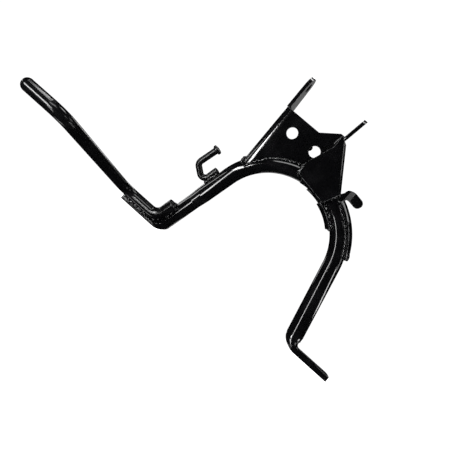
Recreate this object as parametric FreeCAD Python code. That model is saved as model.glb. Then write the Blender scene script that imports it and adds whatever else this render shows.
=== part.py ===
import FreeCAD, Part
import math
import os

# Motorcycle centre stand, millimetres.
# The origin is the middle of the pivot axis between the two ears.
# +X is the bike's right, +Y is forward and away from the viewer, +Z is up.

V = FreeCAD.Vector

# Pivot bracket, a folded steel sheet
sheet = 4.5
ear_left_x = -39.8
ear_right_x = 44.2
pivot_bore = 12.3
ear_radius = 13.0
ear_set_back = 3.0
bracket_lean = 20.0
web_front = -15.8
bend_inside = 5.5
left_ear_turn = 4.5
right_ear_flare = 8.5
web_top = 32.0
web_top_right = 17.0
web_step_x = 11.0
web_corner = 4.5
web_hole = 14.0
web_hole_drop = 52.6
web_hole_left_x = -13.0
web_hole_right_x = 22.2
flange_depth = 38.0
flange_foot = 17.0
flange_low = 128.0
flange_knee = 4.0
right_flange_depth = 33.0
right_flange_low = 80.0

# Front gusset, a folded cover sheet over the right shoulder of the arch
gusset_sheet = 3.0
gusset_tilt = 3.9
gusset_pivot_drop = 20.0
gusset_side = 16.0
gusset_bend = 5.0
gusset_top_x = 45.2
gusset_top_drop = 23.5
gusset_foot_x = 79.0
gusset_foot_drop = 70.0
gusset_heel_x = 69.0
gusset_heel_drop = 92.0
gusset_toe_x = 25.5
gusset_toe_drop = 84.0
gusset_waist_x = 22.2
gusset_waist_drop = 69.4
gusset_elbow_x = 35.6
gusset_elbow_drop = 33.3
gusset_round = 16.0
saddle_left = 9.0
saddle_left_wrap = 50.0
saddle_right = 17.0
saddle_right_wrap = 100.0
saddle_front = 20.0

# Strap inside the arch and rib outside it
strap_thick = 5.2
strap_end = 43.0
strap_from = 48.0
strap_to = 108.0
rib_high = 4.8
rib_wide = 9.4
rib_turn = 58.0
rib_start = 24.0
rib_end = 64.0
dimple = 3.6
dimple_deep = 1.5

# Guide tab, a joggled strip with a round paddle
tab_sheet = 3.0
tab_y = 16.0
tab_step = 5.0
tab_step_x = 87.5
tab_neck = 9.2
tab_width = 12.2
tab_root_x = 79.5
tab_root_drop = 77.6
tab_knee_x = 88.8
tab_knee_drop = 63.6
tab_eye_x = 101.8
tab_eye_drop = 66.0

# Stop lug behind the web
lug_thick = 3.0
lug_x = -4.0
lug_nose_x = 19.6
lug_half = 11.0
lug_corner = 4.0

# Main tube, one bent pipe with two pressed feet
tube = 22.2
arch_radius = 88.0
leg_splay = 15.0
lean_left = 24.3
lean_right = 14.2
crown_x = 45.3
crown_y = 19.5
crown_z = -77.3
leg_straight_left = 44.0
leg_straight_right = 98.0
leg_taper_left = 14.0
leg_taper_right = 3.0
leg_squeeze = 20.6
sole_z = -251.2
foot_thick = 9.4
foot_width = 31.0
foot_press = 0.6
foot_bend = 14.0
foot_left_end = -136.5
foot_right_end = 219.5
foot_corner = 7.0
foot_bevel = 3.5
foot_bevel_run = 1.6

# Pedal lever, a bent round bar
lever = 15.4
lever_tip_x = -245.9
lever_pedal_x = -195.4
lever_pedal_y = -77.7
lever_pedal_z = -226.8
lever_corner_x = -137.5
lever_corner_z = -237.2
lever_pedal_bend = 24.0
lever_corner_bend = 26.0
lever_leg_bend = 17.0
lever_end_rise = 30.0
nook_out = 0.9
nook_back = 1.7
nook_drop = 2.3

# Spring hook, a bent round bar with an upset head
hook_rod = 8.8
hook_foot_top = 9.0
hook_foot_low = 35.0
hook_reach = 37.8
hook_riser_top = 24.5
hook_head_reach = 36.4
hook_head_top = -8.5
hook_bend = 7.0
hook_head = 13.0
hook_head_thick = 4.0

# Weld beads
bead = 2.4
bead_small = 2.0
bead_large = 3.0
bead_nook = 5.0
web_seam_start = 58.0
web_seam_end = 14.0

# How far a cutting shape runs past what it cuts
past = 30.0

turn = 90.0 - leg_splay
tube_r = tube / 2.0
lever_r = lever / 2.0
hook_r = hook_rod / 2.0


def sin(angle):
    return math.sin(math.radians(angle))


def cos(angle):
    return math.cos(math.radians(angle))


def tan(angle):
    return math.tan(math.radians(angle))


# Frames of the two leaning halves of the tube

crown = V(crown_x, crown_y, crown_z)


def lean_of(side):
    return lean_left if side < 0 else lean_right


def down(side):
    return V(0, sin(lean_of(side)), -cos(lean_of(side)))


def near(side):
    return V(0, -cos(lean_of(side)), -sin(lean_of(side)))


def arch_out(side, angle):
    return V(side * sin(angle), 0, 0) - down(side) * cos(angle)


def arch_along(side, angle):
    return V(side * cos(angle), 0, 0) + down(side) * sin(angle)


def arch_point(side, angle, off=0.0):
    centre = crown + down(side) * arch_radius
    return centre + arch_out(side, angle) * (arch_radius + off)


def leg_point(side, length, off=0.0):
    return arch_point(side, turn, off) + arch_along(side, turn) * length


def line(a, b):
    return Part.makeLine(a, b)


def bent_bar(points, radii, radius):
    """Round bar: straight cylinders joined by tangent torus bends."""
    pieces = []
    start = points[0]
    for i, bend_radius in enumerate(radii):
        corner = points[i + 1]
        into = (corner - points[i]).normalize()
        out = (points[i + 2] - corner).normalize()
        bend = into.getAngle(out)
        reach = bend_radius * math.tan(bend / 2.0)
        first = corner - into * reach
        centre = corner + (out - into).normalize() * (bend_radius / math.cos(bend / 2.0))
        pieces.append(Part.makeCylinder(radius, (first - start).Length, start, into))
        pieces.append(turned_disc(first, into, radius, centre, into.cross(out), math.degrees(bend)))
        start = corner + out * reach
    end = points[-1]
    pieces.append(Part.makeCylinder(radius, (end - start).Length, start, end - start))
    return pieces[0].fuse(pieces[1:]).removeSplitter()


def turned_disc(place, along, radius, centre, axis, angle):
    """A round section swept round an axis."""
    disc = Part.Face(Part.Wire([Part.makeCircle(radius, place, along)]))
    return disc.revolve(centre, axis, angle)


def arc_bead(first, through, last, radius):
    """A round bead along the arc through three points, with ball ends."""
    arc = Part.Arc(first, through, last)
    edge = arc.toShape()
    circle = edge.Curve
    sweep = math.degrees(edge.Length / circle.Radius)
    along = edge.tangentAt(edge.FirstParameter)
    core = turned_disc(first, along, radius, circle.Center, circle.Axis, sweep)
    return core.fuse([Part.makeSphere(radius, first), Part.makeSphere(radius, last)])


def straight_bead(first, last, radius):
    """A round bead along a line, with ball ends."""
    core = Part.makeCylinder(radius, (last - first).Length, first, last - first)
    return core.fuse([Part.makeSphere(radius, first), Part.makeSphere(radius, last)])


def prism(points, along):
    return Part.Face(Part.makePolygon(points + [points[0]])).extrude(along)


def rounded_face(points, radii):
    """A flat face with straight sides, whose corners are rounded where a radius is given."""
    edges = []
    count = len(points)
    last_end = None
    first_start = None
    for i, radius in enumerate(radii):
        corner = points[i]
        into = (corner - points[i - 1]).normalize()
        out = (points[(i + 1) % count] - corner).normalize()
        half = into.getAngle(out) / 2.0
        start = corner - into * (radius * math.tan(half))
        end = corner + out * (radius * math.tan(half))
        if last_end is None:
            first_start = start
        elif (start - last_end).Length > 0.001:
            edges.append(line(last_end, start))
        if radius > 0:
            middle = (out - into).normalize()
            top = corner + middle * (radius / math.cos(half) - radius)
            edges.append(Part.Arc(start, top, end).toShape())
        last_end = end
    edges.append(line(last_end, first_start))
    return Part.Face(Part.Wire(edges))


def slot_bar(first, last, width, along):
    """A flat bar with round ends, from first to last, swept along a direction."""
    side = (last - first).cross(along).normalize() * (width / 2.0)
    bar = prism([first + side, last + side, last - side, first - side], along)
    ends = [Part.makeCylinder(width / 2.0, along.Length, place, along) for place in (first, last)]
    return bar.fuse(ends)


# Main tube

def oval(centre, wide, thin, width, height):
    """A closed smooth section, round when width equals height and a stadium when flat."""
    count = 24
    flat = (width - height) / 2.0
    points = []
    for i in range(count):
        a = 360.0 * i / count
        side_way = flat * sin(90.0 * cos(a)) + height / 2.0 * cos(a)
        points.append(centre + wide * side_way + thin * (height / 2.0 * sin(a)))
    curve = Part.BSplineCurve()
    curve.interpolate(Points=points, PeriodicFlag=True)
    return Part.Wire([curve.toShape()])


foot_high = foot_thick + foot_press
foot_axis_z = sole_z + foot_thick - foot_high / 2.0


def foot_bend_corner(side):
    """Where the leg line meets the level centre plane of the foot."""
    into = arch_along(side, turn)
    start = leg_point(side, 0)
    return start + into * ((foot_axis_z - start.z) / into.z)


def make_foot(side, straight, taper, end_x):
    """Pressed end: round to oval on the leg, then flattened round the foot bend, then level."""
    leg_end = leg_point(side, straight)
    into = arch_along(side, turn)
    out = V(side, 0, 0)
    corner = foot_bend_corner(side)
    bend = math.degrees(into.getAngle(out))
    first = corner - into * (foot_bend * tan(bend / 2.0))
    middle = (out - into).normalize()
    centre = corner + middle * (foot_bend / cos(bend / 2.0))
    across = out.cross(into).normalize()
    if across.y < 0:
        across = across * -1.0
    level = V(0, 1, 0)
    rim = Part.Circle(leg_end, into, tube_r)
    rim.XAxis = across
    oval_width = 2.0 * tube - leg_squeeze
    tapered = oval(leg_end + into * taper, across, into.cross(across), oval_width, leg_squeeze)
    sections = []
    steps = 4
    for i in range(steps + 1):
        a = bend * i / steps
        share = float(i) / steps
        ease = share * (2.0 - share)
        spoke = FreeCAD.Rotation(into.cross(out), a - bend / 2.0).multVec(middle * -1.0)
        along = FreeCAD.Rotation(into.cross(out), a).multVec(into)
        wide = across * (1.0 - ease) + level * ease
        wide = (wide - along * wide.dot(along)).normalize()
        width = oval_width + (foot_width - oval_width) * ease
        height = leg_squeeze + (foot_high - leg_squeeze) * ease
        sections.append(oval(centre + spoke * foot_bend, wide, along.cross(wide), width, height))
    pieces = [Part.makeLoft([Part.Wire([rim.toShape()]), tapered], True, True)]
    run = first - leg_end - into * taper
    pieces.append(Part.Face(tapered).extrude(run))
    pieces.append(Part.makeLoft(sections, True, False))
    reach = end_x - sections[-1].CenterOfMass.x
    pieces.append(Part.Face(sections[-1]).extrude(V(reach, 0, 0)))
    return pieces


def trim_foot(side, end_x):
    """What is cut from the end of a foot: two rounded corners and a bevel on top."""
    middle = foot_bend_corner(side).y
    front = middle - foot_width / 2.0
    back = middle + foot_width / 2.0
    start = end_x - side * foot_corner
    outer = end_x + side * past
    low = sole_z - past
    corners = [
        V(start, front - past, low), V(start, front, low), V(end_x, front, low),
        V(end_x, back, low), V(start, back, low), V(start, back + past, low),
        V(outer, back + past, low), V(outer, front - past, low),
    ]
    ends = rounded_face(corners, [0, 0, foot_corner, foot_corner, 0, 0, 0, 0]).extrude(V(0, 0, 2.0 * past))
    top = sole_z + foot_thick
    bevel_x = end_x - side * foot_bevel * foot_bevel_run
    bevel = prism([
        V(bevel_x, front - past, top), V(outer, front - past, top - foot_bevel * (outer - bevel_x) / (end_x - bevel_x)),
        V(outer, front - past, top + past), V(bevel_x, front - past, top + past),
    ], V(0, foot_width + 2.0 * past, 0))
    return ends.fuse(bevel)


def make_plain_tube():
    """The round part of the tube: both halves of the arch and the round legs."""
    pieces = []
    for side, straight in ((-1, leg_straight_left), (1, leg_straight_right)):
        centre = crown + down(side) * arch_radius
        pieces.append(turned_disc(crown, V(1, 0, 0), tube_r, centre, near(side) * (-side), turn))
        pieces.append(Part.makeCylinder(tube_r, straight, leg_point(side, 0), arch_along(side, turn)))
    return pieces[0].fuse(pieces[1:])


def make_foot_end(side, straight, taper, end_x):
    pieces = make_foot(side, straight, taper, end_x)
    pieces[-1] = pieces[-1].cut(trim_foot(side, end_x))
    foot = pieces[0].fuse(pieces[1:])
    low = foot.BoundBox
    anvil = Part.makeBox(low.XLength + 2.0, low.YLength + 2.0, past, V(low.XMin - 1.0, low.YMin - 1.0, sole_z - past))
    return foot.cut(anvil)


def leaned(shape, angle=bracket_lean):
    shape.rotate(V(0, 0, 0), V(1, 0, 0), angle)
    return shape


def biggest(shape):
    return sorted(shape.Solids, key=lambda solid: solid.Volume)[-1]


# Pivot bracket, drawn upright and then leaned

high_z = ear_radius + 3.0
low_z = -flange_low
web_back = web_front + sheet
bend_end = web_back + bend_inside


def right_face(z):
    return ear_right_x + z * tan(right_ear_flare)


def left_face(y):
    return ear_left_x + (y - web_front) * tan(left_ear_turn)


def channel_section(z):
    right = right_face(z)
    deep = web_front + flange_depth + past
    points = [
        V(ear_left_x, web_front, z),
        V(left_face(deep), deep, z),
        V(left_face(deep) + sheet, deep, z),
        V(left_face(web_back) + sheet, web_back, z),
        V(right - sheet, web_back, z),
        V(right - sheet, deep, z),
        V(right, deep, z),
        V(right, web_front, z),
    ]
    return Part.makePolygon(points + [points[0]])


def near_corner(edge, corners):
    middle = edge.valueAt((edge.FirstParameter + edge.LastParameter) / 2.0)
    if abs(edge.tangentAt(edge.FirstParameter).z) < 0.9:
        return False
    return any(abs(middle.y - y) < 0.2 and abs(middle.x - x) < 0.4 for x, y in corners)


def make_channel():
    body = Part.makeLoft([channel_section(high_z), channel_section(low_z)], True, True)
    middle = right_face((high_z + low_z) / 2.0)
    outer = [(ear_left_x, web_front), (middle, web_front)]
    inner = [(left_face(web_back) + sheet, web_back), (middle - sheet, web_back)]
    edges = [e for e in body.Edges if near_corner(e, outer)]
    body = body.makeFillet(bend_inside + sheet, edges)
    edges = [e for e in body.Edges if near_corner(e, inner)]
    return body.makeFillet(bend_inside, edges)


def tangent_point(y, z, side):
    """Where the line from (y, z) touches the ear circle round the pivot."""
    distance = math.hypot(y, z)
    swing = math.acos(ear_radius / distance)
    a = math.atan2(z, y) + side * swing
    return V(0, ear_radius * math.cos(a), ear_radius * math.sin(a))


def ear_outline(top, deep, knee, foot, low):
    """Side view of one flange: round ear end, straight flanks, tapering foot."""
    near_low = V(0, web_front + ear_set_back, -top)
    far_knee = V(0, web_front + deep, -knee)
    first = tangent_point(near_low.y, near_low.z, -1)
    last = tangent_point(far_knee.y, far_knee.z, 1)
    ends = [last, far_knee, V(0, web_front + foot, -low), V(0, web_front, -low), V(0, web_front, -top), near_low, first]
    edges = [line(a, b) for a, b in zip(ends[:-1], ends[1:])]
    edges.append(Part.Arc(first, V(0, 0, ear_radius), last).toShape())
    return Part.Face(Part.Wire(edges))


def web_gap():
    """What is cut above the stepped top edge of the web, with a round corner by the left ear."""
    front = web_front - past
    inner = left_face(web_back) + sheet
    under = inner - sheet / 2.0
    left = ear_left_x - past
    right = ear_right_x + past
    corner_z = -web_top + web_corner
    step_end = right_face(-web_top_right) - sheet - bend_inside
    outline = rounded_face([
        V(left, front, -web_top), V(under, front, -web_top), V(under, front, corner_z),
        V(inner, front, corner_z), V(inner, front, -web_top), V(web_step_x, front, -web_top),
        V(step_end, front, -web_top_right), V(right, front, -web_top_right),
        V(right, front, past), V(left, front, past),
    ], [0, 0, 0, 0, web_corner, 0, 0, 0, 0, 0])
    return outline.extrude(V(0, bend_end - front, 0))


def slab(outline, start, end):
    """A side outline made thick from one X to another."""
    body = outline.extrude(V(end - start, 0, 0))
    body.translate(V(start, 0, 0))
    return body


def make_bracket():
    left_side = ear_outline(web_top, flange_depth, web_top + flange_knee, flange_foot, flange_low)
    right_side = ear_outline(web_top_right, right_flange_depth, web_top, flange_foot, right_flange_low)
    left_keep = slab(left_side, ear_left_x - past, 0)
    right_keep = slab(right_side, 0, ear_right_x + past)
    web_end = right_face(-right_flange_low) - sheet / 2.0
    web_keep = Part.makeBox(web_end, bend_end - web_front, flange_low, V(0, web_front, -flange_low))
    body = make_channel().cut(web_gap()).common(left_keep.fuse([right_keep, web_keep]))
    start_y = web_front - past
    end_y = web_front + flange_depth + past
    left_plate = prism([
        V(left_face(start_y), start_y, -web_top),
        V(left_face(end_y), end_y, -web_top),
        V(left_face(end_y) + sheet, end_y, -web_top),
        V(left_face(start_y) + sheet, start_y, -web_top),
    ], V(0, 0, web_top + high_z))
    low = -web_top_right
    right_plate = prism([
        V(right_face(low) - sheet, start_y, low),
        V(right_face(low), start_y, low),
        V(right_face(high_z), start_y, high_z),
        V(right_face(high_z) - sheet, start_y, high_z),
    ], V(0, end_y - start_y, 0))
    body = body.fuse([left_plate.common(left_keep), right_plate.common(right_keep)])
    left = ear_left_x - past
    body = body.cut(Part.makeCylinder(pivot_bore / 2.0, ear_right_x + past - left, V(left, 0, 0), V(1, 0, 0)))
    for x in (web_hole_left_x, web_hole_right_x):
        hole = Part.makeCylinder(web_hole / 2.0, past, V(x, web_back - past / 2.0, -web_hole_drop), V(0, 1, 0))
        body = body.cut(hole)
    body = leaned(body.removeSplitter())
    return biggest(body.cut(plain_tube))


# Curved strips that hug the tube along the arch

def tube_spot(side, angle, radius, phi):
    """A point round the tube: phi 0 faces the viewer, 90 faces the arch centre, -90 faces out."""
    return arch_point(side, angle) + near(side) * (radius * cos(phi)) - arch_out(side, angle) * (radius * sin(phi))


def hugging_strip(side, start, end, phi_a, phi_b, thick, overlap=0.5):
    inner = tube_r - overlap
    outer = tube_r + thick
    mid = (phi_a + phi_b) / 2.0
    corners = [tube_spot(side, start, r, phi) for r, phi in ((inner, phi_a), (inner, phi_b), (outer, phi_b), (outer, phi_a))]
    edges = [
        Part.Arc(corners[0], tube_spot(side, start, inner, mid), corners[1]).toShape(),
        line(corners[1], corners[2]),
        Part.Arc(corners[2], tube_spot(side, start, outer, mid), corners[3]).toShape(),
        line(corners[3], corners[0]),
    ]
    face = Part.Face(Part.Wire(edges))
    centre = crown + down(side) * arch_radius
    return face.revolve(centre, near(side) * (-side), end - start)


def make_gusset():
    """A cover folded along the slope, tilted off the web, with a saddle round the arch."""
    notch = V(ear_right_x - sheet - bend_inside, 0, -web_top_right - 1.0)
    elbow = V(gusset_elbow_x, 0, -gusset_elbow_drop)
    waist = V(gusset_waist_x, 0, -gusset_waist_drop)
    toe = V(gusset_toe_x, 0, -gusset_toe_drop)
    heel = V(gusset_heel_x, 0, -gusset_heel_drop)
    foot = V(gusset_foot_x, 0, -gusset_foot_drop)
    top = V(gusset_top_x, 0, -gusset_top_drop)
    outline = rounded_face([notch, elbow, waist, toe, heel, foot, top], [0, gusset_round, gusset_round, 0, 0, 0, 0])
    slope = (foot - top).normalize()
    inward = V(slope.z, 0, -slope.x)
    away = V(0, 1, 0)
    front = away * -gusset_sheet
    start = top - slope * past
    deep = start + front + away * gusset_side
    wide = start + inward * (gusset_top_x + gusset_foot_x)
    fold = [start + front, deep, deep + inward * gusset_sheet, start + inward * gusset_sheet, wide, wide + front]
    length = (foot - top).Length + 2.0 * past
    folded = prism(fold, slope * length)
    outer = [e for e in folded.Edges if abs(e.Length - length) < 0.01 and e.distToShape(Part.Vertex(fold[0]))[0] < 0.01]
    folded = folded.makeFillet(gusset_bend, outer)
    outline.translate(away * -past)
    body = folded.common(outline.extrude(away * (2.0 * past)))
    body.translate(V(0, web_front, 0))
    body.rotate(V(0, web_front, -gusset_pivot_drop), V(1, 0, 0), -gusset_tilt)
    body = leaned(body)
    body = body.fuse(hugging_strip(-1, 0, saddle_left, -saddle_front, saddle_left_wrap, gusset_sheet))
    body = body.fuse(hugging_strip(1, 0, saddle_right, -saddle_front, saddle_right_wrap, gusset_sheet))
    return biggest(body.cut(plain_tube).cut(bracket))


def make_strap():
    strip = hugging_strip(1, saddle_right, strap_end, strap_from, strap_to, strap_thick)
    return biggest(strip.cut(plain_tube).cut(gusset))


def make_rib():
    """A narrow strip on the outside of the leg, with a round end and a dimple in it."""
    span = math.degrees(rib_wide / 2.0 / (tube_r + rib_high))
    rib = hugging_strip(1, rib_start, rib_end, -rib_turn - span, -rib_turn + span, rib_high)
    root = tube_spot(1, rib_end, tube_r - 3.0, -rib_turn)
    tip = tube_spot(1, rib_end, tube_r + rib_high, -rib_turn)
    outward = (tip - root).normalize()
    rib = rib.fuse(Part.makeCylinder(rib_wide / 2.0, (tip - root).Length, root, outward))
    rib = rib.cut(Part.makeCylinder(dimple / 2.0, past, tip - outward * dimple_deep, outward))
    return biggest(rib.cut(plain_tube).cut(gusset))


def make_tab():
    """A narrow neck and a wide paddle in front view, with one step in plan view."""
    depth = V(0, 2.0 * past, 0)
    root = V(tab_root_x, tab_y - past, -tab_root_drop)
    knee = V(tab_knee_x, tab_y - past, -tab_knee_drop)
    eye = V(tab_eye_x, tab_y - past, -tab_eye_drop)
    front_view = slot_bar(root, knee, tab_neck, depth).fuse(slot_bar(knee, eye, tab_width, depth))
    low = -tab_root_drop - past
    plan = [
        V(tab_root_x - past, tab_y, low),
        V(tab_step_x, tab_y, low),
        V(tab_step_x + tab_step, tab_y - tab_step, low),
        V(tab_eye_x + past, tab_y - tab_step, low),
    ]
    back = [place + V(0, tab_sheet, 0) for place in plan]
    strip = prism(plan + back[::-1], V(0, 0, tab_root_drop + past))
    return biggest(strip.common(front_view).cut(plain_tube).cut(gusset))


def make_lug():
    """A plate lapped on the rear of the web, with a rounded nose toward the right hole."""
    nose = V(lug_nose_x, web_back, -web_hole_drop)
    shoulder = lug_nose_x - lug_half
    low = nose.z - lug_half
    high = nose.z + lug_half
    outline = rounded_face([
        V(lug_x, web_back, low), V(shoulder, web_back, low), nose, V(shoulder, web_back, high), V(lug_x, web_back, high),
    ], [0, lug_corner, lug_corner, lug_corner, 0])
    return leaned(outline.extrude(V(0, lug_thick, 0))).cut(bracket)


# Pedal lever

lever_touch = foot_high / 2.0 + lever_r - 0.1
lever_rise = lever_corner_z - foot_axis_z
foot_edge_y = foot_bend_corner(-1).y - (foot_width - foot_high) / 2.0
lever_corner_y = foot_edge_y - math.sqrt(lever_touch * lever_touch - lever_rise * lever_rise)


def lever_points():
    into = arch_along(-1, turn)
    beside = (arch_out(-1, turn) * 0.64 + near(-1) * 0.77).normalize() * (tube_r + lever_r - 0.6)
    start = leg_point(-1, 0) + beside
    corner = start + into * ((lever_corner_z - start.z) / into.z)
    return [
        V(lever_tip_x, lever_pedal_y, lever_pedal_z),
        V(lever_pedal_x, lever_pedal_y, lever_pedal_z),
        V(lever_corner_x, lever_corner_y, lever_corner_z),
        corner,
        corner - into * lever_end_rise,
    ]


def make_lever():
    points = lever_points()
    body = bent_bar(points, [lever_pedal_bend, lever_corner_bend, lever_leg_bend], lever_r)
    body = body.fuse(Part.makeSphere(lever_r, points[0]))
    return biggest(body.cut(plain_tube).cut(left_foot))


def hook_spot(reach, length):
    return leg_point(-1, length, reach)


def hook_points():
    lie = tube_r + hook_r - 0.3
    return [
        hook_spot(lie, hook_foot_top),
        hook_spot(lie, hook_foot_low),
        hook_spot(hook_reach, hook_riser_top),
        hook_spot(hook_head_reach, hook_head_top),
    ]


def make_hook():
    points = hook_points()
    body = bent_bar(points, [hook_bend, hook_bend], hook_r)
    along = (points[3] - points[2]).normalize()
    head = Part.makeCylinder(hook_head / 2.0, hook_head_thick, points[3] - along * hook_head_thick, along)
    rims = [e for e in head.Edges if abs(e.Length - math.pi * hook_head) < 0.01]
    return biggest(body.fuse(head.makeFillet(1.5, rims)).cut(plain_tube))


# Weld beads, each cut back to the faces it joins

def web_seam_spot(angle, face):
    """Where a face of the web meets the outside of the left half of the arch."""
    normal = V(0, cos(bracket_lean), sin(bracket_lean))
    centre = arch_point(-1, angle)
    a = tube_r * arch_out(-1, angle).dot(normal)
    b = tube_r * near(-1).dot(normal)
    rest = face - centre.dot(normal)
    phi = math.atan2(b, a)
    turned = math.acos(max(-1.0, min(1.0, rest / math.hypot(a, b))))
    best = min(phi - turned, phi + turned, key=abs)
    return centre + arch_out(-1, angle) * (tube_r * math.cos(best)) + near(-1) * (tube_r * math.sin(best))


def flange_seam_spot(phi):
    """Where the outer face of the left flange meets the tube, on the arch or on the leg below it."""
    out = arch_radius + tube_r * cos(phi)
    reach = crown_x - left_face(0) - 0.4
    angle = math.degrees(math.asin(min(reach / out, sin(turn))))
    rest = (reach - out * sin(angle)) / cos(turn)
    return tube_spot(-1, angle, tube_r, -90 + phi) + arch_along(-1, turn) * rest


def ring_seam(side, angle, phi_a, phi_b, radius):
    spots = [tube_spot(side, angle, tube_r, phi) for phi in (phi_a, (phi_a + phi_b) / 2.0, phi_b)]
    return arc_bead(spots[0], spots[1], spots[2], radius)


def side_seam(side, start, end, phi, radius):
    spots = [tube_spot(side, angle, tube_r + 0.6, phi) for angle in (start, (start + end) / 2.0, end)]
    return arc_bead(spots[0], spots[1], spots[2], radius)


def make_web_beads():
    beads = {}
    middle = (web_seam_start + web_seam_end) / 2.0
    seam = [web_seam_spot(a, web_front) for a in (web_seam_start, middle, web_seam_end)]
    beads["web_weld_front"] = (arc_bead(seam[0], seam[1], seam[2], bead_small), ["main_tube", "pivot_bracket"])
    seam = [web_seam_spot(a, web_back) for a in (web_seam_start - 2, middle, web_seam_end)]
    beads["web_weld_rear"] = (arc_bead(seam[0], seam[1], seam[2], bead), ["main_tube", "pivot_bracket"])
    seam = [flange_seam_spot(phi) for phi in (35, 0, -25)]
    beads["flange_weld"] = (arc_bead(seam[0], seam[1], seam[2], bead_large), ["main_tube", "pivot_bracket", "web_weld_rear"])
    edge = -web_hole_drop - lug_half
    left = V(lug_x + bead, web_back + 0.6, edge)
    right = V(lug_nose_x - lug_half - bead, web_back + 0.6, edge)
    beads["lug_weld"] = (leaned(straight_bead(left, right, bead)), ["pivot_bracket", "stop_lug"])
    return beads


def make_right_beads():
    beads = {}
    seam = ring_seam(1, saddle_right + 1.5, 35, -50, bead_large)
    beads["gusset_weld_low"] = (seam, ["main_tube", "front_gusset", "inner_strap"])
    seam = ring_seam(-1, saddle_left + 4.5, 10, -55, bead)
    beads["gusset_weld_left"] = (seam, ["main_tube", "front_gusset", "pivot_bracket", "web_weld_front", "web_weld_rear"])
    seam = side_seam(1, saddle_right + 5, strap_end - 2, strap_from - 1, bead)
    beads["strap_weld"] = (seam, ["main_tube", "inner_strap"])
    seam = ring_seam(1, strap_end + 0.4, strap_from + 6, strap_to - 6, bead)
    beads["strap_weld_end"] = (seam, ["main_tube", "inner_strap", "strap_weld"])
    half = math.degrees(rib_wide / 2.0 / (tube_r + rib_high / 2.0))
    seam = side_seam(1, rib_start + 3, rib_end, -rib_turn + half + 2, bead)
    beads["rib_weld_front"] = (seam, ["main_tube", "outer_rib"])
    seam = side_seam(1, rib_start + 3, rib_end, -rib_turn - half - 2, bead)
    beads["rib_weld_rear"] = (seam, ["main_tube", "outer_rib"])
    low = V(tab_root_x, tab_y - 0.4, -tab_root_drop - 3.4)
    seam = straight_bead(low, low + V(0, 0, tab_neck), bead)
    beads["tab_weld"] = (seam, ["main_tube", "front_gusset", "guide_tab"])
    return beads


def make_left_beads():
    beads = {}
    points = lever_points()
    lever_mid = (points[2] + points[3]) * 0.5
    foot_mid = V(lever_mid.x, foot_edge_y, foot_axis_z)
    toward = (lever_mid - foot_mid).normalize()
    sideways = V(0, -toward.z, toward.y)
    touch = foot_mid + toward * (foot_high / 2.0)
    for name, sign in (("lever_foot_weld_top", -1), ("lever_foot_weld_low", 1)):
        place = touch + sideways * (sign * 3.8)
        seam = straight_bead(place - V(14, 0, 0), place + V(10, 0, 0), bead)
        beads[name] = (seam, ["main_tube", "pedal_lever"])
    nook = points[3] + V(-nook_out, nook_back, -nook_drop)
    nook = straight_bead(nook, nook + V(0, bead_nook, 0), bead_nook)
    beads["lever_nook_weld"] = (nook, ["main_tube", "pedal_lever"])
    into = arch_along(-1, turn)
    near_lever = points[4] + into * 10.0
    near_leg = leg_point(-1, (near_lever - leg_point(-1, 0)).dot(into))
    toward = (near_lever - near_leg).normalize()
    sideways = toward.cross(into)
    touch = near_leg + toward * tube_r
    for name, sign in (("lever_leg_weld_front", -1), ("lever_leg_weld_rear", 1)):
        place = touch + sideways * (sign * 4.6)
        seam = straight_bead(place - into * 8.0, place + into * 8.0, bead_large)
        beads[name] = (seam, ["main_tube", "pedal_lever"])
    lie = (hook_points()[0] + hook_points()[1]) * 0.5
    axis_spot = leg_point(-1, (hook_foot_top + hook_foot_low) / 2.0)
    toward = (lie - axis_spot).normalize()
    sideways = toward.cross(into)
    touch = axis_spot + toward * tube_r
    for name, sign in (("hook_weld_front", 1), ("hook_weld_rear", -1)):
        place = touch + sideways * (sign * 3.4)
        seam = straight_bead(place - into * 9.0, place + into * 8.0, bead)
        beads[name] = (seam, ["main_tube", "spring_hook"])
    return beads


plain_tube = make_plain_tube()
left_foot = make_foot_end(-1, leg_straight_left, leg_taper_left, foot_left_end)
right_foot = make_foot_end(1, leg_straight_right, leg_taper_right, foot_right_end)
main_tube = plain_tube.fuse([left_foot, right_foot])
bracket = make_bracket()
gusset = make_gusset()
strap = make_strap()
rib = make_rib()
tab = make_tab()
lug = make_lug()
pedal_lever = make_lever()
hook = make_hook()

nodes = {
    "main_tube": main_tube,
    "pivot_bracket": bracket,
    "front_gusset": gusset,
    "inner_strap": strap,
    "outer_rib": rib,
    "guide_tab": tab,
    "stop_lug": lug,
    "pedal_lever": pedal_lever,
    "spring_hook": hook,
}
for beads in (make_web_beads(), make_right_beads(), make_left_beads()):
    for name, (shape, joined) in beads.items():
        for other in joined:
            shape = shape.cut(nodes[other])
        nodes[name] = biggest(shape)

os.makedirs("parts", exist_ok=True)
for name, shape in nodes.items():
    shape.exportStep("parts/" + name + ".step")
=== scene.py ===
"""Looks of a motorcycle centre stand: gloss black paint, rippled weld beads and a white studio stage."""

import math

import bpy
import numpy as np
from bpy.props import FloatProperty, FloatVectorProperty, PointerProperty
from bpy.types import Operator, Panel, PropertyGroup
from mathutils import Matrix, Vector


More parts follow.
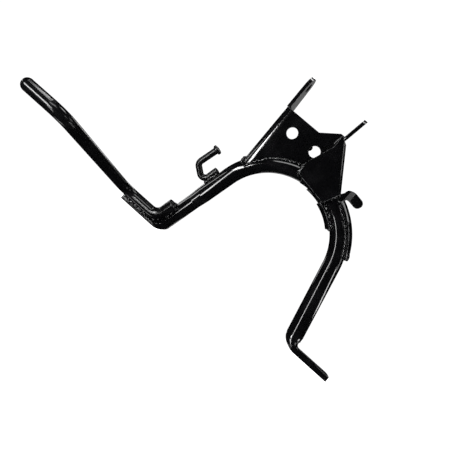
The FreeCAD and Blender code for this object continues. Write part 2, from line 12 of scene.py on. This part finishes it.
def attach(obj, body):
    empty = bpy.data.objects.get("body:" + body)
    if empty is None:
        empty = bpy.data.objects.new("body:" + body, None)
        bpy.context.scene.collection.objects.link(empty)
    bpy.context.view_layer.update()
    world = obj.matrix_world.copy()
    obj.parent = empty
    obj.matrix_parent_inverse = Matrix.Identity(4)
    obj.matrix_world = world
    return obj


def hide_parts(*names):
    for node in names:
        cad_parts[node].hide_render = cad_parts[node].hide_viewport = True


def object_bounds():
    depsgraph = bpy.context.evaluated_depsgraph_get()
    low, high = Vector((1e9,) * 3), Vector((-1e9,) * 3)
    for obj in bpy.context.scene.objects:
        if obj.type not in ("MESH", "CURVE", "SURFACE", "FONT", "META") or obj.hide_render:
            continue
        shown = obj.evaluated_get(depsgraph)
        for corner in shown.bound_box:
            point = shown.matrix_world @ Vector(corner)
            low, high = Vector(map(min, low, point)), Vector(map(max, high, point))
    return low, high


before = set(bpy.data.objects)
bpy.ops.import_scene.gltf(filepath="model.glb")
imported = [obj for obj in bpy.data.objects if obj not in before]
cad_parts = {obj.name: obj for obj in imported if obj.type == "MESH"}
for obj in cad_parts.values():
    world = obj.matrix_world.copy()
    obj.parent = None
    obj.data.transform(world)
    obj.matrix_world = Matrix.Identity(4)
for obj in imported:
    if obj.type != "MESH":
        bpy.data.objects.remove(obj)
CAD_BOX = [list(corner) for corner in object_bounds()]

bl_info = {
    "name": "Centre stand looks",
    "version": (1, 0, 0),
    "blender": (4, 5, 0),
    "location": "View3D > Sidebar > Stand",
    "description": "Paints a welded centre stand, lays its weld beads and sets its studio stage",
    "category": "Object",
}

BODY = "root"
MM = 0.001
SOLE = CAD_BOX[0][2]

TUBE_NODES = ("main_tube",)
BAR_NODES = ("pedal_lever", "spring_hook")
SHEET_NODES = ("pivot_bracket", "front_gusset", "inner_strap", "outer_rib", "guide_tab", "stop_lug")

BEAD_SMALL = 2.0
BEAD = 2.4
BEAD_LARGE = 3.0
BEAD_NOOK = 5.0

# Each weld seam: the radius of its CAD bead in millimetres, and whether the seam is an arc
SEAMS = {
    "web_weld_front": (BEAD_SMALL, True),
    "web_weld_rear": (BEAD, True),
    "flange_weld": (BEAD_LARGE, True),
    "lug_weld": (BEAD, False),
    "gusset_weld_low": (BEAD_LARGE, True),
    "gusset_weld_left": (BEAD, True),
    "strap_weld": (BEAD, True),
    "strap_weld_end": (BEAD, True),
    "rib_weld_front": (BEAD, True),
    "rib_weld_rear": (BEAD, True),
    "tab_weld": (BEAD, False),
    "lever_foot_weld_top": (BEAD, False),
    "lever_foot_weld_low": (BEAD, False),
    "lever_nook_weld": (BEAD_NOOK, False),
    "lever_leg_weld_front": (BEAD_LARGE, False),
    "lever_leg_weld_rear": (BEAD_LARGE, False),
    "hook_weld_front": (BEAD, False),
    "hook_weld_rear": (BEAD, False),
}
# The bead under the foot is laid fuller, longer and a little higher than its CAD bead
FULLER = {"lever_foot_weld_low": 0.5}
HIGHER = {"lever_foot_weld_low": 0.2}
# Millimetres added to a seam's first and last end; other pieces hide the first end of two of these beads
LONGER = {"web_weld_rear": (8.2, 0.0), "tab_weld": (6.6, 0.0), "lever_foot_weld_low": (2.0, 4.0)}
# Each seam runs from its first to its last end towards this way
WELDING_WAY = (1.0, 1.7, 0.35)
# Long seams, which were laid more evenly than the short ones
EVEN_SEAMS = ("web_weld_front", "web_weld_rear", "rib_weld_front", "rib_weld_rear")

# Sizes of clouds of dust, specks and the spots of painted highlight on sharp edges in cells per metre, and
# where each begins and is full
CLOUD_SCALE = 45.0
SPECK_SCALE = 1400.0
HIGHLIGHT_PATCH_SCALE = 160.0
CLOUD_RANGE = (0.42, 0.75)
SPECK_RANGE = (0.78, 0.84)
HIGHLIGHT_PATCH_RANGE = (0.35, 0.6)
SHARP_RANGE = (0.02, 0.2)

# What dust, specks and the painted edge highlight add to the colour's mix, the roughness and the height of the
# paint
DUST_SHARE = 0.3
SPECK_SHARE = 0.5
DUST_ROUGH = 0.04
HIGHLIGHT_ROUGH = 0.2
SPECK_HEIGHT = 0.015
PAINT_DEPTH = 0.0004
PAINT_IOR = 1.5

# Reading a seam from its CAD bead: random facets, random tries, fits after them, how near the line a point of
# it falls in millimetres, and the share of the area that is left out at each end
SAMPLE = 600
TRIES = 500
FITS = 5
CLOSE = 0.1
END_SHARE = 0.01
TINY = 1e-12
UPRIGHT = 0.1

# Weld beads: corners round a bead, rings for each ripple and spare ones, how far a crescent bends back in
# bead radii, how pointed a ripple is, the ripples' width in a rough bead and the lumps' height in an even one,
# and the rates of slow width and of lumps along the bead and round it
BEAD_CORNERS = 28
RIPPLE_RINGS = 9
SPARE_RINGS = 8
CRESCENT = 0.225
RIPPLE_POWER = 0.6
ROUGH_PITCH = 2.0
EVEN_LUMPS = 0.25
WANDER_RATES = (0.31, 0.73, 1.37, 2.3)
LUMP_RATES = (1.4, 2.2, 3.1, 2.6)
LUMP_FOLDS = (1, 2, 3, -2)

FLOOR_HALF = 6.0
FLOOR_GAP = 0.0002
FLOOR_CLOUDS = 6.0
FLOOR_SHARE = 0.04
FLOOR_GREY = (0.8, 0.8, 0.8)
SKY_STRENGTH = 1.05

# Lamps: name, way from the object in the picture's axes (right, up, to the viewer), distance, width, height,
# tilt in degrees, strength
LAMP_TARGET = (0.0, 0.03, -0.13)
LAMPS = (
    ("key_strip", (-0.63, 0.20, 0.75), 1.1, 0.1, 0.6, 40, 18.0),
    ("key_soft", (-0.70, 0.02, 0.71), 1.1, 0.08, 0.85, 5, 11.0),
    ("rim_left", (-0.80, 0.56, -0.13), 1.0, 0.06, 0.8, 55, 3.0),
    ("low_left", (-0.8, -0.6, -0.13), 1.0, 0.1, 0.3, 0, 4.0),
    ("top_panel", (-0.03, 0.62, 0.78), 1.2, 0.5, 0.25, 0, 3.5),
    ("top_strip", (-0.06, 0.97, 0.2), 1.0, 0.05, 0.7, 0, 9.0),
    ("top_right", (0.56, 0.8, 0.12), 1.0, 0.25, 0.35, 0, 6.0),
    ("right_fill", (0.72, -0.04, 0.69), 1.1, 0.12, 0.12, 0, 5.0),
    ("side_panel", (0.98, 0.18, 0.07), 1.0, 0.2, 0.3, 0, 2.0),
    ("low_right", (0.76, -0.62, 0.17), 1.0, 0.04, 0.7, 50, 7.0),
    ("low_right_soft", (0.86, -0.46, 0.23), 1.0, 0.2, 0.25, 0, 1.5),
    ("back_right", (0.46, 0.02, -0.89), 1.0, 0.3, 0.6, 0, 0.2),
    ("rear_key", (0.30, 0.50, -0.81), 1.1, 0.12, 0.6, -35, 4.0),
    ("rear_soft", (-0.50, 0.35, -0.79), 1.1, 0.2, 0.5, 0, 2.0),
    ("rear_low", (-0.10, -0.55, -0.83), 1.1, 0.5, 0.12, 0, 1.5),
)


class StandLooks(PropertyGroup):
    """Colours and sizes of the finish that a user may change."""

    paint_colour: FloatVectorProperty(
        name="Paint colour", description="Colour of the gloss paint", subtype="COLOR", size=3,
        default=(0.0012, 0.0012, 0.0014), min=0, max=1,
    )
    dust_colour: FloatVectorProperty(
        name="Dust colour", description="Colour of the fine dust in the paint", subtype="COLOR", size=3,
        default=(0.006, 0.006, 0.0066), min=0, max=1,
    )
    gloss: FloatProperty(
        name="Paint roughness", description="Roughness of clean paint", default=0.10, min=0.02, max=0.6,
        subtype="FACTOR",
    )
    peel: FloatProperty(
        name="Orange peel", description="Strength of the fine waves in the paint", default=0.004, min=0,
        max=1, subtype="FACTOR",
    )
    # Colour of the painted highlight on sharp edges, a light grey for the light that the edges catch
    edge_highlight_colour: FloatVectorProperty(
        name="Edge colour", description="Colour of rubbed paint on sharp edges", subtype="COLOR", size=3,
        default=(0.22, 0.22, 0.225), min=0, max=1,
    )
    # Share of the painted highlight on sharp edges
    wear: FloatProperty(
        name="Edge wear", description="Share of the rubbed paint on sharp edges", default=0.8, min=0, max=1,
        subtype="FACTOR",
    )
    edge_round: FloatProperty(
        name="Edge round", description="Radius over which the paint rounds sharp edges", default=0.0009,
        min=0, max=0.003, unit="LENGTH", precision=4,
    )
    ripple_pitch: FloatProperty(
        name="Ripple pitch", description="Distance between two ripples of a weld bead", default=0.0017,
        min=0.0005, max=0.005, unit="LENGTH", precision=4,
    )
    ripple_height: FloatProperty(
        name="Ripple height", description="Depth of the ripples as a share of the bead radius", default=0.04,
        min=0, max=0.4, subtype="FACTOR",
    )
    bead_lumps: FloatProperty(
        name="Bead lumps", description="Height of the lumps of a bead as a share of its radius", default=0.34,
        min=0, max=0.4, subtype="FACTOR",
    )
    bead_wander: FloatProperty(
        name="Bead wander", description="Uneven width of a bead as a share of its radius", default=0.14,
        min=0, max=0.3, subtype="FACTOR",
    )


class StandStage(PropertyGroup):
    """Floor, lights and camera that a user may change."""

    floor_colour: FloatVectorProperty(
        name="Floor colour", description="Colour of the plain floor", subtype="COLOR", size=3, min=0, max=1,
        default=(0.9, 0.9, 0.9),
    )
    floor_glow: FloatProperty(
        name="Floor glow", description="Light that the floor gives by itself, which keeps it plain white",
        default=1.0, min=0, max=3,
    )
    camera_place: FloatVectorProperty(
        name="Camera place", description="Where the camera stands", subtype="TRANSLATION", unit="LENGTH",
        size=3, default=(0.02579, -0.52265, -0.24442),
    )
    camera_yaw: FloatProperty(
        name="Camera yaw", description="Turn to the left", subtype="ANGLE", default=math.radians(4.96)
    )
    camera_rise: FloatProperty(
        name="Camera rise", description="Tilt upward", subtype="ANGLE", default=math.radians(4.95)
    )
    camera_roll: FloatProperty(
        name="Camera roll", description="Turn of the picture round its middle", subtype="ANGLE",
        default=math.radians(41.91),
    )
    camera_lens: FloatProperty(
        name="Lens", description="Focal length in millimetres", default=35.88, min=10, max=200
    )
    camera_shift_x: FloatProperty(name="Shift X", description="Sideways shift of the lens", default=0.0363)
    camera_shift_y: FloatProperty(name="Shift Y", description="Upward shift of the lens", default=-0.0161)


# Shader sums


class Value:
    """A number or colour socket in a node tree; plain sums on it add Math nodes."""

    def __init__(self, shader, socket):
        self.shader = shader
        self.socket = socket

    def math(self, operation, first, second):
        return self.shader.node("ShaderNodeMath", {"operation": operation}, {0: first, 1: second}).out()

    def __add__(self, other):
        return self.math("ADD", self, other)

    __radd__ = __add__

    def __mul__(self, other):
        return self.math("MULTIPLY", self, other)

    __rmul__ = __mul__

    def __sub__(self, other):
        return self.math("SUBTRACT", self, other)

    def __rsub__(self, other):
        return self.math("SUBTRACT", other, self)

    def step(self, low, high):
        """0 below low, 1 above high and smooth between."""
        values = {"Value": self, "From Min": low, "From Max": high}
        return self.shader.node("ShaderNodeMapRange", {"interpolation_type": "SMOOTHSTEP"}, values).out()


class Made:
    """A node that has been added, with its outputs as values."""

    def __init__(self, shader, node):
        self.shader = shader
        self.node = node

    def out(self, name=0):
        return Value(self.shader, self.node.outputs[name])


class Shader:
    """The node tree of one new material."""

    def __init__(self, name):
        self.material = bpy.data.materials.new(name)
        self.material.use_nodes = True
        self.tree = self.material.node_tree
        self.tree.nodes.clear()

    def node(self, kind, settings=None, values=None):
        """Adds a node of a type, sets its settings first and then its sockets, by value or by link."""
        node = self.tree.nodes.new(kind)
        for key, setting in (settings or {}).items():
            setattr(node, key, setting)
        for key, value in (values or {}).items():
            if isinstance(value, Value):
                self.tree.links.new(value.socket, node.inputs[key])
            else:
                node.inputs[key].default_value = value
        return Made(self, node)

    def noise(self, place, scale, detail=2.0):
        """Cloudy noise with a scale in cells per metre."""
        return self.node("ShaderNodeTexNoise", {}, {"Vector": place, "Scale": scale, "Detail": detail}).out()

    def blend(self, share, first, second):
        """A mix of two colours."""
        node = self.node("ShaderNodeMix", {"data_type": "RGBA"}, {0: share})
        for index, colour in ((6, first), (7, second)):
            if isinstance(colour, Value):
                self.tree.links.new(colour.socket, node.node.inputs[index])
            else:
                node.node.inputs[index].default_value = (*colour, 1)
        return node.out(2)

    def finish(self, values):
        """Joins the surface shader to the output and gives the material."""
        surface = self.node("ShaderNodeBsdfPrincipled", {}, values).out()
        self.node("ShaderNodeOutputMaterial", {}, {"Surface": surface})
        return self.material


def gloss_paint(name, looks, peel_scale, wave_scale, wave, rough=0.0, coat=1.0, highlit=1.0):
    """Gloss paint over steel: fine orange peel, slow waves, cloudy dust with specks, and a painted edge
    highlight.

    An edge is sharp where the normal that is rounded over a small radius leaves the face's own normal."""
    shader = Shader(name)
    place = shader.node("ShaderNodeTexCoord").out("Object")
    edge = shader.node("ShaderNodeBevel", {"samples": 12}, {"Radius": looks.edge_round}).out()
    cloud = shader.noise(place, CLOUD_SCALE, 3.0)
    slow = shader.noise(place, wave_scale, 1.0)
    fine = shader.noise(place, peel_scale, 1.0)
    specks = shader.noise(place, SPECK_SCALE, 0.0).step(*SPECK_RANGE)
    dust = cloud.step(*CLOUD_RANGE)
    face = shader.node("ShaderNodeNewGeometry").out("Normal")
    flat = shader.node("ShaderNodeVectorMath", {"operation": "DOT_PRODUCT"}, {0: edge, 1: face}).out("Value")
    highlight_patches = shader.noise(place, HIGHLIGHT_PATCH_SCALE).step(*HIGHLIGHT_PATCH_RANGE)
    # Painted highlight: light grey in spots along sharp edges, for the light that the edges catch; it also
    # roughens the paint there
    painted_highlight = (1.0 - flat).step(*SHARP_RANGE) * highlight_patches * (looks.wear * highlit)
    dusty = shader.blend(dust * DUST_SHARE + specks * SPECK_SHARE, looks.paint_colour, looks.dust_colour)
    colour = shader.blend(painted_highlight, dusty, looks.edge_highlight_colour)
    gloss = looks.gloss + rough + dust * DUST_ROUGH + painted_highlight * HIGHLIGHT_ROUGH
    height = fine * looks.peel + slow * wave + specks * SPECK_HEIGHT
    values = {"Strength": 0.5, "Distance": PAINT_DEPTH, "Height": height, "Normal": edge}
    bump = shader.node("ShaderNodeBump", {}, values).out()
    return shader.finish({
        "Base Color": colour, "Roughness": gloss, "Normal": bump, "IOR": PAINT_IOR,
        "Coat Weight": coat, "Coat Roughness": 0.04, "Coat IOR": PAINT_IOR,
    })


# Surfaces


def surface(name, rings, material, node):
    """A closed tube from rings of points (ring, step round it, XYZ), in the place of a CAD node.

    The first and last ring shrink to one point."""
    count, around = rings.shape[:2]
    inner = rings[1:-1].reshape(-1, 3)
    points = np.vstack([inner, rings[0].mean(0), rings[-1].mean(0)])
    ring, step = np.meshgrid(np.arange(count - 3), np.arange(around), indexing="ij")
    follow = (step + 1) % around
    here_ring, next_ring = ring * around, (ring + 1) * around
    quads = np.stack([here_ring + step, here_ring + follow, next_ring + follow, next_ring + step], -1)
    first, last = len(inner), len(inner) + 1
    here = np.arange(around)
    after = (here + 1) % around
    end = (count - 3) * around
    start_fan = np.stack([np.full(around, first), after, here], -1)
    end_fan = np.stack([np.full(around, last), end + here, end + after], -1)
    mesh = bpy.data.meshes.new(name)
    faces = quads.reshape(-1, 4).tolist() + start_fan.tolist() + end_fan.tolist()
    mesh.from_pydata(points.tolist(), [], faces)
    mesh.shade_smooth()
    mesh.materials.append(material)
    mesh.validate()
    piece = bpy.data.objects.new(name, mesh)
    bpy.context.scene.collection.objects.link(piece)
    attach(piece, BODY)
    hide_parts(node)
    return piece


def circle_through(first, middle, last):
    """Centre, unit axis and radius of the circle through three points."""
    a, b = middle - first, last - first
    axis = np.cross(a, b)
    lengths = [(vector ** 2).sum(-1, keepdims=True) for vector in (a, b, axis)]
    lengths[2] += TINY
    centre = first + (lengths[0] * np.cross(b, axis) - lengths[1] * np.cross(a, axis)) / (2.0 * lengths[2])
    return centre, axis / np.sqrt(lengths[2]), np.linalg.norm(first - centre, axis=-1, keepdims=True)


def off_circle(points, centre, axis, radius):
    """Distances of points from a circle: across its plane and from its radius."""
    arm = points - centre
    rise = (arm * axis).sum(-1)
    flat = np.sqrt(np.maximum((arm ** 2).sum(-1) - rise ** 2, 0.0))
    return np.hypot(rise, flat - radius[..., 0])


def off_line(points, start, along):
    """Distances of points from a line with a unit direction."""
    arm = points - start
    return np.linalg.norm(arm - (arm * along).sum(-1, keepdims=True) * along, axis=-1)


def fit_circle(points, weights):
    """The circle nearest to weighted points: in their flattest plane, by linear least squares."""
    middle = np.average(points, axis=0, weights=weights)
    axes = np.linalg.eigh(np.cov((points - middle).T, aweights=weights))[1]
    flat = (points - middle) @ axes[:, 1:]
    root = np.sqrt(weights)
    system = np.column_stack([2.0 * flat, np.ones(len(flat))]) * root[:, None]
    *spot, rest = np.linalg.lstsq(system, (flat ** 2).sum(1) * root, rcond=None)[0]
    return middle + axes[:, 1:] @ spot, axes[:, 0], np.array([math.sqrt(rest + np.dot(spot, spot))])


def fit_line(points, weights):
    """The line nearest to weighted points: through their mean, along their widest spread."""
    middle = np.average(points, axis=0, weights=weights)
    return middle, np.linalg.eigh(np.cov((points - middle).T, aweights=weights))[1][:, 2]


def rope_points(name, radius):
    """The facets of a CAD bead, each moved inward by the bead's radius along its normal, and their areas."""
    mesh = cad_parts[name].data
    centres, normals = np.empty((2, 3 * len(mesh.polygons)))
    areas = np.empty(len(mesh.polygons))
    for key, values in (("center", centres), ("normal", normals), ("area", areas)):
        mesh.polygons.foreach_get(key, values)
    return centres.reshape(-1, 3) / MM - normals.reshape(-1, 3) * radius, areas


def middle_line(points, areas, curved):
    """The circle or line that most of the points fall on.

    Of many circles through three random points, or lines through two, the one near most points is taken.
    It is then fitted to the points close to it, with weights area / (distance squared + a length squared)."""
    draw = np.random.RandomState(1)
    sample = points[draw.choice(len(points), SAMPLE, p=areas / areas.sum())]
    picked = sample[draw.randint(SAMPLE, size=(3 if curved else 2, TRIES))][:, :, None]
    if curved:
        off, fit = off_circle, fit_circle
        tries = circle_through(*picked)
    else:
        off, fit = off_line, fit_line
        along = picked[1] - picked[0]
        tries = picked[0], along / np.maximum(np.linalg.norm(along, axis=-1, keepdims=True), TINY)
    best = (off(sample, *tries) < CLOSE).sum(-1).argmax()
    shape = [part[best, 0] for part in tries]
    for _ in range(FITS):
        away = off(points, *shape)
        weights = np.where(away < 3.0 * CLOSE, areas, 0.0) / (away ** 2 + (0.5 * CLOSE) ** 2)
        shape = fit(points, weights)
    return shape


def read_seam(name, radius, curved):
    """First, middle and last point of a seam in millimetres, read from its CAD bead. A line has no middle.

    A CAD bead is a round rope along the seam, cut back where it meets the pieces. A facet of the rope, moved
    inward by the radius, falls on the rope's middle line, and a facet of a cut face falls beside it. All of a
    ball end's facets fall on its centre, so the seam begins and ends where the points along the line do."""
    points, areas = rope_points(name, radius)
    shape = middle_line(points, areas, curved)
    near = (off_circle if curved else off_line)(points, *shape) < CLOSE
    arm, areas = points[near] - shape[0], areas[near]
    if curved:
        centre, axis, bend = shape
        out = arm.mean(0) - axis * np.dot(arm.mean(0), axis)
        out /= np.linalg.norm(out)
        along = np.cross(axis, out)
        places = np.arctan2(arm @ along, arm @ out) * bend
    else:
        centre, along = shape
        places = arm @ along
    order = np.argsort(places)
    shares = np.cumsum(areas[order]) / areas.sum()
    low, high = np.interp((END_SHARE, 1.0 - END_SHARE), shares, places[order])
    before, after = LONGER.get(name, (0.0, 0.0))
    if np.dot(along, WELDING_WAY) > 0.0:
        stops = np.linspace(low - before, high + after, 3)[:, None]
    else:
        stops = np.linspace(high + before, low - after, 3)[:, None]
    lift = (0.0, 0.0, HIGHER.get(name, 0.0))
    if curved:
        return centre + bend * (np.cos(stops / bend) * out + np.sin(stops / bend) * along) + lift
    first, _, last = centre + stops * along + lift
    return first, None, last


def seam_path(first, middle, last, shares):
    """Points and two side directions at shares of a path, and its length.

    The path is a line, or a circle's arc through three points."""
    if middle is None:
        along = (last - first) / np.linalg.norm(last - first)
        aside = np.cross(along, (0.0, 0.0, 1.0))
        # An upright seam has no clear side by the vertical
        if np.linalg.norm(aside) < UPRIGHT:
            aside = np.cross(along, (0.0, 1.0, 0.0))
        aside /= np.linalg.norm(aside)
        points = first + np.outer(shares, last - first)
        sides = np.repeat(aside[None], len(shares), 0)
        ups = np.repeat(np.cross(along, aside)[None], len(shares), 0)
        return points, sides, ups, np.linalg.norm(last - first)
    centre, axis, radius = circle_through(first, middle, last)
    out = (first - centre) / radius
    along = np.cross(axis, out)
    end = last - centre
    sweep = math.atan2(np.dot(end, along), np.dot(end, out)) % (2.0 * math.pi)
    angles = (shares * sweep)[:, None]
    outs = np.cos(angles) * out + np.sin(angles) * along
    points = centre + outs * radius
    return points, outs, np.repeat(axis[None], len(shares), 0), radius[0] * sweep


def bead_rings(radius, first, middle, last, looks, seed, rough):
    """A weld bead: circles along the seam, whose radius is a half ball at both ends.

    Between them the radius has three parts: a slow mean of seeded sines of the distance, which makes the bead
    wander; ripples, |sin(pi * distance / pitch)| to RIPPLE_POWER, with the distance bent back round the bead
    so that each is a crescent; and lumps, the mean of sines of rate * distance / radius + folds * angle.
    A rough bead has wider ripples and higher lumps than an even one."""
    length = seam_path(first, middle, last, np.array([0.0, 1.0]))[3]
    pitch = looks.ripple_pitch / MM * (ROUGH_PITCH if rough else 1.0)
    lump_height = looks.bead_lumps * (1.0 if rough else EVEN_LUMPS)
    count = int((length + 2.0 * radius) / pitch * RIPPLE_RINGS) + SPARE_RINGS
    distance = np.linspace(-radius, length + radius, count)
    outside = np.clip(np.maximum(-distance, distance - length) / radius, 0.0, 1.0)
    points, sides, ups, _ = seam_path(first, middle, last, distance / length)
    angle = np.linspace(0.0, 2.0 * math.pi, BEAD_CORNERS, endpoint=False)
    phases = np.random.RandomState(seed).uniform(0.0, 2.0 * math.pi, 4)
    wander = sum(np.sin(distance / radius * rate + phase) for rate, phase in zip(WANDER_RATES, phases)) / 4.0
    width = radius * np.sqrt(1.0 - outside ** 2) * (1.0 + looks.bead_wander * wander)
    crescent = distance[:, None] / pitch + CRESCENT * radius / pitch * np.cos(angle + phases[0])[None]
    ripple = np.abs(np.sin(math.pi * crescent)) ** RIPPLE_POWER
    lumps = sum(
        np.sin(distance[:, None] / radius * rate + folds * angle + phase)
        for rate, folds, phase in zip(LUMP_RATES, LUMP_FOLDS, phases[::-1])
    ) / 4.0
    size = width[:, None] * (1.0 + looks.ripple_height * (ripple - 1.0) + lump_height * lumps)
    ring = sides[:, None] * np.cos(angle)[None, :, None] + ups[:, None] * np.sin(angle)[None, :, None]
    return (points[:, None] + ring * size[..., None]) * MM


# Operators


class STAND_OT_paint_steel(Operator):
    """Paints the tube, the bars and the folded sheets"""

    bl_idname = "stand.paint_steel"
    bl_label = "Paint the steel"

    def execute(self, context):
        looks = context.scene.stand_looks
        paints = (
            (TUBE_NODES, gloss_paint("tube_paint", looks, 900.0, 70.0, 0.45)),
            (BAR_NODES, gloss_paint("bar_paint", looks, 900.0, 95.0, 0.5, rough=0.08, coat=0.3)),
            (SHEET_NODES, gloss_paint("sheet_paint", looks, 750.0, 60.0, 0.6, rough=0.02)),
        )
        for names, material in paints:
            for name in names:
                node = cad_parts[name]
                for place in node.material_slots:
                    place.material = material
        return {"FINISHED"}


class STAND_OT_lay_beads(Operator):
    """Lays a rippled weld bead along every seam, in place of the smooth ones"""

    bl_idname = "stand.lay_beads"
    bl_label = "Lay the weld beads"

    def execute(self, context):
        looks = context.scene.stand_looks
        # Even beads take a tenth of the painted edge highlight, rough beads none
        even = gloss_paint("even_bead_paint", looks, 1100.0, 120.0, 0.4, highlit=0.1)
        rough = gloss_paint("rough_bead_paint", looks, 700.0, 180.0, 1.25, highlit=0.0)
        for seed, (name, (cad_radius, curved)) in enumerate(SEAMS.items()):
            first, middle, last = read_seam(name, cad_radius, curved)
            radius = cad_radius + FULLER.get(name, 0.0)
            rings = bead_rings(radius, first, middle, last, looks, seed, name not in EVEN_SEAMS)
            piece = surface(name + "_ripples", rings, even if name in EVEN_SEAMS else rough, name)
        return {"FINISHED"}


def picture_turn(stage):
    """The camera's turn: its columns are the picture's right and up, and the way back to the viewer."""
    turn = Matrix.Identity(3)
    rise = math.radians(90.0) + stage.camera_rise
    for angle, axis in ((stage.camera_yaw, "Z"), (rise, "X"), (stage.camera_roll, "Z")):
        turn = turn @ Matrix.Rotation(angle, 3, axis)
    return turn


def lamp(name, turn, way, distance, width, height, tilt, strength):
    """A soft rectangular lamp, upright in the picture, along a way from the object in the picture's axes."""
    light = bpy.data.lights.new(name, "AREA")
    light.shape = "RECTANGLE"
    light.size = width
    light.size_y = height
    light.energy = strength * math.pi * width * height
    piece = bpy.data.objects.new(name, light)
    back = (turn @ Vector(way)).normalized()
    slant = math.radians(tilt)
    aside = (turn @ Vector((-math.sin(slant), math.cos(slant), 0))).cross(back).normalized()
    matrix = Matrix((aside, back.cross(aside), back)).transposed().to_4x4()
    matrix.translation = Vector(LAMP_TARGET) + back * distance
    piece.matrix_world = matrix
    piece.visible_camera = False
    bpy.context.scene.collection.objects.link(piece)


class STAND_OT_set_stage(Operator):
    """Makes the white floor, the lamps and the camera"""

    bl_idname = "stand.set_stage"
    bl_label = "Set the stage"

    def execute(self, context):
        scene = context.scene
        stage = scene.stand_stage
        scene.view_settings.view_transform = "Standard"
        world = bpy.data.worlds.new("studio")
        world.use_nodes = True
        background = world.node_tree.nodes["Background"]
        background.inputs["Color"].default_value = (1, 1, 1, 1)
        background.inputs["Strength"].default_value = SKY_STRENGTH
        scene.world = world
        world.cycles_visibility.glossy = False

        shader = Shader("studio_floor")
        place = shader.node("ShaderNodeTexCoord").out("Object")
        cloud = shader.noise(place, FLOOR_CLOUDS)
        tone = shader.blend(cloud * FLOOR_SHARE, stage.floor_colour, FLOOR_GREY)
        white = shader.finish({
            "Base Color": tone, "Roughness": 0.9,
            "Emission Color": (1, 1, 1, 1), "Emission Strength": stage.floor_glow,
        })
        mesh = bpy.data.meshes.new("studio_floor")
        half, level = FLOOR_HALF, SOLE - FLOOR_GAP
        corners = [(-half, -half, level), (half, -half, level), (half, half, level), (-half, half, level)]
        mesh.from_pydata(corners, [], [(0, 1, 2, 3)])
        mesh.materials.append(white)
        floor = bpy.data.objects.new("studio_floor", mesh)
        floor.visible_glossy = False
        floor.visible_shadow = False
        scene.collection.objects.link(floor)

        turn = picture_turn(stage)
        for row in LAMPS:
            lamp(row[0], turn, *row[1:])

        lens = bpy.data.cameras.new("camera")
        lens.sensor_width = 36.0
        lens.lens = stage.camera_lens
        lens.shift_x = stage.camera_shift_x
        lens.shift_y = stage.camera_shift_y
        lens.clip_start = 0.01
        camera = bpy.data.objects.new("camera", lens)
        matrix = turn.to_4x4()
        matrix.translation = stage.camera_place
        camera.matrix_world = matrix
        scene.collection.objects.link(camera)
        scene.camera = camera
        return {"FINISHED"}


class STAND_PT_sidebar(Panel):
    """Steps and settings of the stand's looks"""

    bl_idname = "STAND_PT_sidebar"
    bl_label = "Centre stand"
    bl_space_type = "VIEW_3D"
    bl_region_type = "UI"
    bl_category = "Stand"

    def draw(self, context):
        for step in STEPS:
            self.layout.operator(step.bl_idname)
        for group in (context.scene.stand_looks, context.scene.stand_stage):
            column = self.layout.column()
            for key in group.__annotations__:
                column.prop(group, key)


STEPS = (STAND_OT_paint_steel, STAND_OT_lay_beads, STAND_OT_set_stage)
CLASSES = (StandLooks, StandStage, *STEPS, STAND_PT_sidebar)


def register():
    for item in CLASSES:
        bpy.utils.register_class(item)
    bpy.types.Scene.stand_looks = PointerProperty(type=StandLooks)
    bpy.types.Scene.stand_stage = PointerProperty(type=StandStage)


def unregister():
    del bpy.types.Scene.stand_stage
    del bpy.types.Scene.stand_looks
    for item in reversed(CLASSES):
        bpy.utils.unregister_class(item)


def main():
    register()
    bpy.ops.stand.paint_steel()
    bpy.ops.stand.lay_beads()
    bpy.ops.stand.set_stage()


if __name__ == "__main__":
    main()
